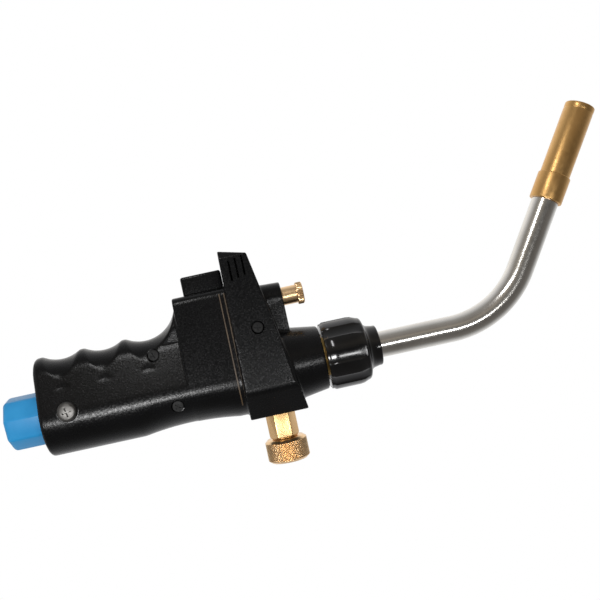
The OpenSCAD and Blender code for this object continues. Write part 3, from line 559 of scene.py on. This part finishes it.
def shellOpenings():
    s = shell
    hexLow, hexHigh = spanOf("bonnet")
    valveZ = (hexLow.z + hexHigh.z) / 2
    o = openings
    tools = [
        rod(o["plugR"], endZ - 1, 1, steps=128),
        block((s["housingTop"] - 4, -o["windowHalf"] - o["gap"], o["windowLow"] - o["gap"]),
              (s["housingTop"] + 2, o["windowHalf"] + o["gap"], o["windowHigh"] + o["gap"])),
        rod((hexHigh.y - hexLow.y) / 2 + o["bonnetGap"], headFoot - 2, headFoot + 4,
            axis="X", centre=(0, valveZ)),
        rod(o["lockR"], s["bossZ"] - 4, s["bossZ"] + 2, centre=(s["bossX"], 0)),
        rod(o["snoutR"], snoutEndZ - 6, snoutEndZ + 1, steps=96),
    ]
    screwAt = (o["screwX"], o["screwZ"])
    for side in (-1, 1):
        y = sorted((side * vents["fromY"], side * vents["toY"]))
        for i in range(vents["count"]):
            x = headTop - vents["belowRoof"] + vents["step"] * i
            z = s["headZ"] + vents["low"] + vents["pitch"] * i
            tools.append(block((x, y[0], z), (x + vents["length"], y[1], z + vents["width"])))
        y = sorted((side * 13, side * 18.4))
        tools.append(rod(o["screwR"], y[0], y[1], axis="Y", centre=screwAt, steps=32))
        y = sorted((side * (s["backR"] - 0.6), side * 22))
        tools.append(rod(o["seatR"], y[0], y[1], axis="Y", centre=screwAt))
    return tools


screwSpots = {  # shell screws: x, z, height of the surface they sink into
    "places": ((18.9, 55.6, 12.25), (-6.7, 62.3, 16.8), (21.6, 106.8, 17.55)),
    "headR": 2.8, "headL": 2.0, "sink": 1.2, "shankR": 1.3,
}


def makeShells():
    skin = asObject(outerSkin(), "skin")
    combine(skin, innerRoom())
    for tool in shellOpenings():
        combine(skin, tool)
    for x, z, y in screwSpots["places"]:
        top = y - screwSpots["sink"] - screwSpots["headL"]
        combine(skin, rod(screwSpots["headR"] + 0.3, top, 24, axis="Y", centre=(x, z), steps=48))
    whole = backToBmesh(skin)
    other = whole.copy()
    halves = (("leftShell", whole, 1, "left_shell"), ("rightShell", other, -1, "right_shell"))
    for name, bm, side, node in halves:
        half = asObject(bm, "half")
        y = sorted((side * 0.04, side * 60))
        combine(half, block((-60, y[0], -30), (90, y[1], 170)), "INTERSECT")
        makePiece(name, backToBmesh(half), finishes["black_plastic"], "housing", [node], 40)


makeShells()


seam = {"places": (91.9, 94.2), "width": 0.55, "proud": 0.3, "sunk": 0.3, "fromX": -13}


def makeSeamRibs():
    s = seam
    ribs = []
    for z in s["places"]:
        ring = asObject(housingLump(-s["proud"], z, z + s["width"]))
        combine(ring, housingLump(s["sunk"], z - 1, z + 2))
        combine(ring, block((s["fromX"], -25, z - 1), (shell["housingTop"] - 2.5, 25, z + 2)), "INTERSECT")
        combine(ring, block((-30, -0.5, z - 1), (60, 0.5, z + 2)))
        ribs.append(backToBmesh(ring))
    # the ribs carry the painted warm reflection as their brown colour
    makePiece("seamRibs", joined(ribs), seamPaintedWarmReflection(), "housing")


makeSeamRibs()


# screws

def crossTool(size, depth, top):
    arms = asObject(block((-size / 2, -size / 11, top - depth), (size / 2, size / 11, top + 1)))
    combine(arms, block((-size / 11, -size / 2, top - depth), (size / 11, size / 2, top + 1)), "UNION")
    return backToBmesh(arms)


def makeShellScrews():
    s = screwSpots
    heads = []
    for i, (x, z, y) in enumerate(s["places"]):
        top = y - s["sink"]
        profile = [(0, top), *arc(s["headR"] - 0.4, top - 0.4, 0.4, 90, 0, 4), (s["headR"], top - s["headL"]),
                   (s["shankR"], top - s["headL"]), (s["shankR"], 6 - y), (0, 6 - y)]
        screw = asObject(turned(profile, 48))
        combine(screw, crossTool(3.2, 1.2, top))
        bm = backToBmesh(screw)
        moved(bm, Matrix.Rotation(math.radians(20 + 33 * i), 4, "Z"))
        moved(bm, Matrix.Translation((x, 0, z)) @ Matrix.Rotation(-math.pi / 2, 4, "X"))
        heads.append(bm)
    makePiece("shellScrews", joined(heads), finishes["black_steel"], "housing",
              ["shell_screws"])


inletScrew = {"x": 2.0, "z": 11.3, "faceY": 16.9, "headR": 4.85, "headL": 2.7, "shankR": 2.0, "endY": 8.5}


def makeInletScrews():
    s = inletScrew
    pair = []
    for side in (1, -1):
        top = s["faceY"] + s["headL"]
        dome = [(0, top), (1.4, top - 0.03), *arc(2.9, top - 1.9, 1.9, 78, 0, 8),
                (s["headR"], s["faceY"] + 0.2), (s["headR"] - 0.2, s["faceY"]),
                (s["shankR"], s["faceY"]), (s["shankR"], s["endY"]), (0, s["endY"])]
        screw = asObject(turned(dome, 64))
        combine(screw, crossTool(4.6, 1.7, top))
        bm = backToBmesh(screw)
        moved(bm, Matrix.Rotation(math.radians(12), 4, "Z"))
        turn = Matrix.Rotation(-side * math.pi / 2, 4, "X")
        moved(bm, Matrix.Translation((s["x"], 0, s["z"])) @ turn)
        pair.append(bm)
    makePiece("inletScrews", joined(pair), finishes["plated_steel"], "housing",
              ["inlet_screws"])


makeShellScrews()
makeInletScrews()


# blue dust plug

plug = {"flats": 24.2, "turnDeg": 31.5, "rim": 2.6, "spigotR": 13.5, "bore": 9.9, "floor": 3}


def makePlug():
    s = plug
    low, high = spanOf("dust_plug")
    corner = s["flats"] / 2 / math.cos(math.radians(22.5))
    turns = [math.radians(s["turnDeg"] + 45 * i) for i in range(8)]
    outline = [(corner * math.cos(a), corner * math.sin(a)) for a in turns]
    bm = prism(outline, endZ - low.z, low.z)
    beveled(bm, 0.9, 3, pick=lambda e: abs(e.verts[0].co.z - e.verts[1].co.z) > 5)
    beveled(bm, s["rim"], 5, 50, pick=lambda e: max(v.co.z for v in e.verts) < low.z + 0.1)
    body = asObject(bm)
    combine(body, rod(s["spigotR"], endZ - 0.01, high.z, steps=96), "UNION")
    combine(body, rod(s["bore"], low.z + s["floor"], high.z + 2, steps=96))
    makePiece("dustPlug", backToBmesh(body), finishes["blue_plastic"], "dust_plug",
              ["dust_plug"], 24)


makePlug()


# trigger and lock button

pad = {"halfW": 7, "low": 75.3, "high": 95.0, "round": 1.1, "backX": 34,
       "lines": 4, "firstLine": 4.2, "linePitch": 3.7, "lineW": 0.7, "lineDepth": 0.45, "lineEnd": 1.8,
       "flangeX": 40.4, "flangeTop": 95.8, "tabX": 38, "tabHalf": 6,
       "notchFrom": (33, -2.6, 97), "notchTo": (35.6, 2.6, 112)}


def makeTrigger():
    s = pad
    low, high = spanOf("trigger")
    face = block((s["backX"], -s["halfW"], s["low"]), (high.x, s["halfW"], s["high"]))
    beveled(face, s["round"], 4, pick=lambda e: max(v.co.x for v in e.verts) > high.x - 0.1
            or abs(e.verts[0].co.x - e.verts[1].co.x) > 5)
    body = asObject(face)
    lineHalf = s["halfW"] - s["lineEnd"]
    for i in range(s["lines"]):  # grip lines across the face
        z = s["low"] + s["firstLine"] + s["linePitch"] * i
        combine(body, block((high.x - s["lineDepth"], -lineHalf, z), (high.x + 1, lineHalf, z + s["lineW"])))
    combine(body, block((s["backX"], low.y, low.z), (s["flangeX"], high.y, s["flangeTop"])), "UNION")
    combine(body, block((s["backX"], -s["tabHalf"], low.z), (s["tabX"], s["tabHalf"], high.z)), "UNION")
    combine(body, block(s["notchFrom"], s["notchTo"]))
    makePiece("triggerPad", backToBmesh(body), finishes["black_plastic"], "trigger",
              ["trigger"])


lock = {"shaftR": 4.45, "pinR": 2.0, "ringR": 5.35, "ringL": 3.2, "shoulderZ": 117,
        "grooveZ": 1.2, "grooveL": 0.8, "teeth": 40, "toothDepth": 0.28}


def makeLockButton():
    s = lock
    low, high = spanOf("lock_button")
    ringZ = high.z - s["ringL"]
    shoulder = s["shoulderZ"]
    groove = shoulder + s["grooveZ"]
    grooveEnd = groove + s["grooveL"]
    profile = [(0, low.z), (s["pinR"] - 0.3, low.z), (s["pinR"], low.z + 0.3), (s["pinR"], shoulder),
               (s["shaftR"], shoulder), (s["shaftR"], groove), (s["shaftR"] - 0.5, groove),
               (s["shaftR"] - 0.5, grooveEnd), (s["shaftR"], grooveEnd), (s["shaftR"], ringZ - 0.35),
               (s["shaftR"] - 0.3, ringZ - 0.3), (s["shaftR"] - 0.3, ringZ),
               (s["ringR"] - 0.35, ringZ), (s["ringR"], ringZ + 0.35), (s["ringR"], ringZ + 1.1),
               (s["ringR"], high.z - 1.1), (s["ringR"], high.z - 0.5), (s["ringR"] - 0.5, high.z),
               (1.2, high.z), (0, high.z - 0.5)]
    bm = turned(profile, s["teeth"] * 4)
    for v in bm.verts:
        r = math.hypot(v.co.x, v.co.y)
        if r > s["ringR"] - 0.1:
            tooth = (math.atan2(v.co.y, v.co.x) / (2 * math.pi) * s["teeth"]) % 1
            shrunk(v, s["toothDepth"] * abs(2 * tooth - 1))
    moved(bm, Matrix.Translation(((low.x + high.x) / 2, 0, 0)))
    makePiece("lockButton", bm, finishes["knurled_brass"], "lock_button", ["lock_button"])


makeTrigger()
makeLockButton()


# flow valve

valve = {"flats": 12.7, "knobR": 10.2, "bevel": 1.1, "bore": 2.0,
         "diamonds": 44, "rows": 7, "knurlDepth": 0.55}


def alongX(bm, z):
    # stands a piece turned about Z along +X at height z
    return moved(bm, Matrix.Translation((0, 0, z)) @ Matrix.Rotation(math.pi / 2, 4, "Y"))


def makeBonnet():
    low, high = spanOf("bonnet")
    z = (low.z + high.z) / 2
    corner = valve["flats"] / 2 / math.cos(math.radians(30))
    turns = [math.radians(60 * i) for i in range(6)]
    bm = prism([(corner * math.cos(a), corner * math.sin(a)) for a in turns], -17.5 - low.x, low.x)
    beveled(bm, 0.35, 2)
    body = asObject(bm)
    # turned chamfers at the outer end, cut by a cone round the hexagon
    cone = asObject(rod(corner + 3, low.x - 1, low.x + 1.6, steps=96))
    combine(cone, rod(corner - 1.9, low.x - 1.2, low.x + 1.8, radiusEnd=corner + 0.35, steps=96))
    combine(body, backToBmesh(cone))
    combine(body, rod(4.2, -17.6, high.x, steps=48), "UNION")
    combine(body, rod(2.05, low.x - 1, high.x + 1, steps=48))
    makePiece("hexBonnet", alongX(backToBmesh(body), z), finishes["bright_brass"], "housing",
              ["bonnet"])


def makeKnob():
    s = valve
    low, high = spanOf("flow_knob")
    z = (low.z + high.z) / 2
    x0, x1 = low.x, high.x
    rowsUp = s["rows"] * 6
    zs = [x0 + s["bevel"] + (x1 - x0 - 2 * s["bevel"]) * i / rowsUp for i in range(rowsUp + 1)]
    profile = [(s["bore"], x0 + 1.2), (3.5, x0 + 1.2), (3.5, x0), (s["knobR"] - s["bevel"] - 0.2, x0),
               (s["knobR"] - s["bevel"], x0 + 0.2), *((s["knobR"], t) for t in zs),
               (s["knobR"] - s["bevel"], x1 - 0.2), (s["knobR"] - s["bevel"] - 0.2, x1), (s["bore"], x1)]
    bm = turned(profile, s["diamonds"] * 8, closed=True)
    for v in bm.verts:
        r = math.hypot(v.co.x, v.co.y)
        if r > s["knobR"] - 0.05 and x0 + s["bevel"] + 0.2 < v.co.z < x1 - s["bevel"] - 0.2:
            around = math.atan2(v.co.y, v.co.x) / (2 * math.pi) * s["diamonds"]
            along = (v.co.z - x0) / (x1 - x0 - 2 * s["bevel"]) * s["rows"]
            cutA = abs(2 * ((around + along) % 1) - 1)
            cutB = abs(2 * ((around - along) % 1) - 1)
            shrunk(v, s["knurlDepth"] * max(1 - 2.2 * min(cutA, cutB), 0))
    makePiece("flowKnob", alongX(bm, z), finishes["knurled_brass"], "flow_knob",
              ["flow_knob"], 50)


makeBonnet()
makeKnob()


# collar nut

nut = {"rearR": 16.0, "gripR": 16.7, "shoulderR": 15.3, "boreR": 11.0, "tubeHole": 6.75,
       "flutes": 8, "fluteDepth": 0.9, "neckL": 7.8, "boreL": 16.3, "rim": 0.4}


def makeNut():
    s = nut
    low, high = spanOf("collar_nut")
    z0, z1 = low.z, high.z
    zs = z1 - s["neckL"]
    shoulderIn = z0 + s["boreL"]
    rim = s["rim"]
    outside = [(s["rearR"] - 2 * rim, z0), *arc(s["rearR"] - rim, z0 + rim, rim, -90, 0, 3),
               (s["rearR"] + 0.1, z0 + 1.1),
               (s["gripR"], z0 + 2), (s["gripR"], z0 + 6), (s["gripR"], zs - 9), (s["gripR"], zs - 5),
               (s["gripR"] - 0.25, zs - 3), (s["shoulderR"] + 0.35, zs - 1),
               *arc(s["shoulderR"] - 1.9, zs - 0.8, 2.1, 8, 66, 6),
               (11.4, zs + 2), (10.5, zs + 3.2), (10.15, zs + 4.5), (9.8, zs + 6.2),
               *arc(9.1, z1 - 0.7, 0.7, 0, 90, 4)]
    inside = [(s["tubeHole"] + 0.3, z1), (s["tubeHole"], z1 - 0.3), (s["tubeHole"], shoulderIn),
              (s["boreR"], shoulderIn), (s["boreR"], z0 + 0.5), (s["boreR"] + 0.5, z0)]
    bm = turned(outside + inside, 256, closed=True)
    for v in bm.verts:
        r = math.hypot(v.co.x, v.co.y)
        if r > 12 and v.co.z < zs + 1:
            turn = (math.atan2(v.co.y, v.co.x) / (2 * math.pi) * s["flutes"]) % 1
            dip = max(math.cos(2 * math.pi * turn), 0) ** 0.5
            fade = min(max((zs + 1 - v.co.z) / 4, 0), 1)
            shrunk(v, s["fluteDepth"] * dip * fade)
    makePiece("collarNut", bm, finishes["gloss_black"], "collar_nut", ["collar_nut"], 40)


makeNut()


# bent burner tube and its tip

burner = {"tubeR": 6.35, "wall": 0.8, "startZ": spanOf("burner_tube")[0].z,
          "cornerZ": 224.6, "bendR": 46.0, "bendDeg": 57.5, "tipOffset": 60.75,
          "tipL": 49.4, "tipWall": 0.68, "ferruleL": 13.2, "ferruleWall": 0.68}
bendRad = math.radians(burner["bendDeg"])
bendZ = burner["cornerZ"] - burner["bendR"] * math.tan(bendRad / 2)
tipStraight = burner["tipOffset"] - burner["bendR"] * math.tan(bendRad / 2)
bendEnd = (burner["bendR"] * (1 - math.cos(bendRad)), 0, bendZ + burner["bendR"] * math.sin(bendRad))
tipFrame = Matrix.Translation(bendEnd) @ Matrix.Rotation(bendRad, 4, "Y")


def makeBurnerTube():
    s = burner
    bm = bmesh.new()
    for radius in (s["tubeR"], s["tubeR"] - s["wall"]):
        ring = bmesh.ops.create_circle(bm, segments=64, radius=radius, cap_ends=False)["verts"]
        bmesh.ops.translate(bm, vec=(0, 0, s["startZ"]), verts=ring)
    ends = list(bm.edges)
    bmesh.ops.bridge_loops(bm, edges=ends)
    out = bmesh.ops.extrude_edge_only(bm, edges=ends)["geom"]
    loop = [g for g in out if isinstance(g, bmesh.types.BMEdge)]
    loopVerts = [g for g in out if isinstance(g, bmesh.types.BMVert)]
    bmesh.ops.translate(bm, vec=(0, 0, bendZ - s["startZ"]), verts=loopVerts)
    out = bmesh.ops.spin(bm, geom=loopVerts + loop, cent=(s["bendR"], 0, bendZ), axis=(0, 1, 0),
                         dvec=(0, 0, 0), angle=bendRad, steps=40)["geom_last"]
    loop = [g for g in out if isinstance(g, bmesh.types.BMEdge)]
    out = bmesh.ops.extrude_edge_only(bm, edges=loop)["geom"]
    loop = [g for g in out if isinstance(g, bmesh.types.BMEdge)]
    loopVerts = [g for g in out if isinstance(g, bmesh.types.BMVert)]
    along = tipFrame.to_3x3() @ Vector((0, 0, tipStraight + s["ferruleL"]))
    bmesh.ops.translate(bm, vec=along, verts=loopVerts)
    bmesh.ops.bridge_loops(bm, edges=loop)
    makePiece("burnerTube", bm, finishes["stainless_tube"], "burner", ["burner_tube"])


def makeTip():
    s = burner
    inner, outer = s["tubeR"], s["tubeR"] + s["tipWall"]
    z0, z1 = tipStraight, tipStraight + s["tipL"]
    rim = 0.45
    profile = [(inner, z0 + 0.05), (outer, z0 + 0.05), (outer, z0 + s["ferruleL"]), (outer, z1 - 3.4),
               (outer - 0.12, z1 - 3.1), (outer - 0.12, z1 - 2.7), (outer, z1 - 2.4),
               *arc(outer - rim, z1 - rim, rim, 0, 90, 4),
               (inner + 0.15, z1), (inner, z1 - 0.2)]
    tip = turned(profile, 96, closed=True)
    moved(tip, tipFrame)
    makePiece("burnerTip", tip, finishes["tip_brass"], "burner", ["burner_tip"])
    ferruleR = outer + s["ferruleWall"]
    edge = 0.5
    profile = [(outer, z0), *arc(ferruleR - edge, z0 + edge, edge, -90, 0, 4),
               *arc(ferruleR - edge, z0 + s["ferruleL"] - edge, edge, 0, 90, 4), (outer, z0 + s["ferruleL"])]
    ferrule = turned(profile, 96, closed=True)
    moved(ferrule, tipFrame)
    makePiece("tipFerrule", ferrule, finishes["tip_brass"], "burner", ["tip_ferrule"])


makeBurnerTube()
makeTip()


# floor, light and camera

stage = {"floorZ": -90.0, "floorR": 138.0, "floorX": 20.0}
shot = {"footX": 38.8, "footZ": 99.0, "distance": 408.0, "frameWidth": 292.8, "sensor": 36.0,
        "centreX": 29.5, "centreZ": 130.1, "upX": 0.977, "upZ": 0.213}


def makeFloor():
    bm = bmesh.new()
    bmesh.ops.create_circle(bm, segments=128, radius=stage["floorR"], cap_ends=True)
    bmesh.ops.translate(bm, vec=(stage["floorX"], 0, stage["floorZ"]), verts=bm.verts)
    bmesh.ops.scale(bm, vec=(mm, mm, mm), verts=bm.verts)
    mesh = bpy.data.meshes.new("floor")
    bm.to_mesh(mesh)
    bm.free()
    floor = bpy.data.objects.new("floor", mesh)
    bpy.context.collection.objects.link(floor)
    material, tree, shader = newMaterial("paleFloor", Roughness=0.9)
    tree.links.new(ramp(tree, objectNoise(tree, 20, 2), [(0.3, (0.86, 0.86, 0.86)), (0.7, (0.9, 0.9, 0.9))]),
                   shader.inputs["Base Color"])
    mesh.materials.append(material)


def makeWorld():
    # white room behind and beside the object, dimmer on the camera's side
    world = bpy.data.worlds.new("studio")
    bpy.context.scene.world = world
    world.use_nodes = True
    tree = world.node_tree
    tree.nodes.clear()
    out = tree.nodes.new("ShaderNodeOutputWorld")
    place = tree.nodes.new("ShaderNodeTexCoord")
    split = tree.nodes.new("ShaderNodeSeparateXYZ")
    tree.links.new(place.outputs["Generated"], split.inputs["Vector"])
    behind = ramp(tree, spread(tree, split.outputs["Y"], 0, 1, -1, 1),
                  [(0.0, (1.0, 1.0, 1.0)), (0.2, (0.85, 0.85, 0.86)), (0.42, (0.5, 0.5, 0.51)),
                   (0.52, (0.32, 0.32, 0.32)), (0.62, (0.2, 0.19, 0.18)),
                   (0.9, (0.13, 0.122, 0.115)), (1.0, (0.1, 0.1, 0.1))])
    above = ramp(tree, spread(tree, split.outputs["X"], 0, 1, -1, 1),
                 [(0.0, (0.0, 0.0, 0.0)), (0.44, (0.0, 0.0, 0.0)), (0.56, (0.02, 0.018, 0.015)),
                  (0.66, (0.12, 0.105, 0.085)), (0.74, (0.24, 0.21, 0.17)),
                  (0.84, (0.1, 0.09, 0.08)), (1.0, (0.14, 0.14, 0.14))])
    add = tree.nodes.new("ShaderNodeMix")
    add.data_type = "RGBA"
    add.blend_type = "ADD"
    add.inputs[0].default_value = 1.0
    tree.links.new(behind, add.inputs[6])
    tree.links.new(above, add.inputs[7])
    room = tree.nodes.new("ShaderNodeBackground")
    tree.links.new(add.outputs[2], room.inputs["Color"])
    white = tree.nodes.new("ShaderNodeBackground")
    white.inputs["Color"].default_value = (1, 1, 1, 1)
    seen = tree.nodes.new("ShaderNodeLightPath")
    pick = tree.nodes.new("ShaderNodeMixShader")
    tree.links.new(seen.outputs["Is Camera Ray"], pick.inputs["Fac"])
    tree.links.new(room.outputs["Background"], pick.inputs[1])
    tree.links.new(white.outputs["Background"], pick.inputs[2])
    tree.links.new(pick.outputs["Shader"], out.inputs["Surface"])


def softbox(name, place, target, width, height, power):
    light = bpy.data.lights.new(name, "AREA")
    light.shape = "RECTANGLE"
    light.size, light.size_y = width * mm, height * mm
    light.energy = power
    lamp = bpy.data.objects.new(name, light)
    bpy.context.collection.objects.link(lamp)
    lamp.location = Vector(place) * mm
    lamp.rotation_euler = (Vector(target) - Vector(place)).to_track_quat("-Z", "Y").to_euler()
    lamp.visible_camera = False


def makeLights():
    softbox("key", (-56, 430, -25), (-2, 0, 60), 46, 150, 0.95)
    softbox("strip", (-45, 430, 245), (0, 0, 170), 30, 190, 0.4)
    softbox("tipKey", (400, 430, 0), (80, 0, 270), 200, 60, 0.6)


def makeCamera():
    s = shot
    cameraData = bpy.data.cameras.new("view")
    camera = bpy.data.objects.new("view", cameraData)
    bpy.context.collection.objects.link(camera)
    up = Vector((s["upX"], 0, s["upZ"])).normalized()
    back = Vector((0, 1, 0))
    right = up.cross(back)
    camera.location = Vector((s["footX"], s["distance"], s["footZ"])) * mm
    camera.rotation_euler = Matrix((right, up, back)).transposed().to_euler()
    cameraData.sensor_width = s["sensor"]
    cameraData.lens = s["sensor"] * s["distance"] / s["frameWidth"]
    off = Vector((s["centreX"] - s["footX"], 0, s["centreZ"] - s["footZ"]))
    cameraData.shift_x = off.dot(right) / s["frameWidth"]
    cameraData.shift_y = off.dot(up) / s["frameWidth"]
    cameraData.clip_start, cameraData.clip_end = 0.01, 20
    bpy.context.scene.camera = camera


makeFloor()
makeWorld()
makeLights()
makeCamera()
bpy.context.scene.view_settings.view_transform = "Standard"
print("stage set")
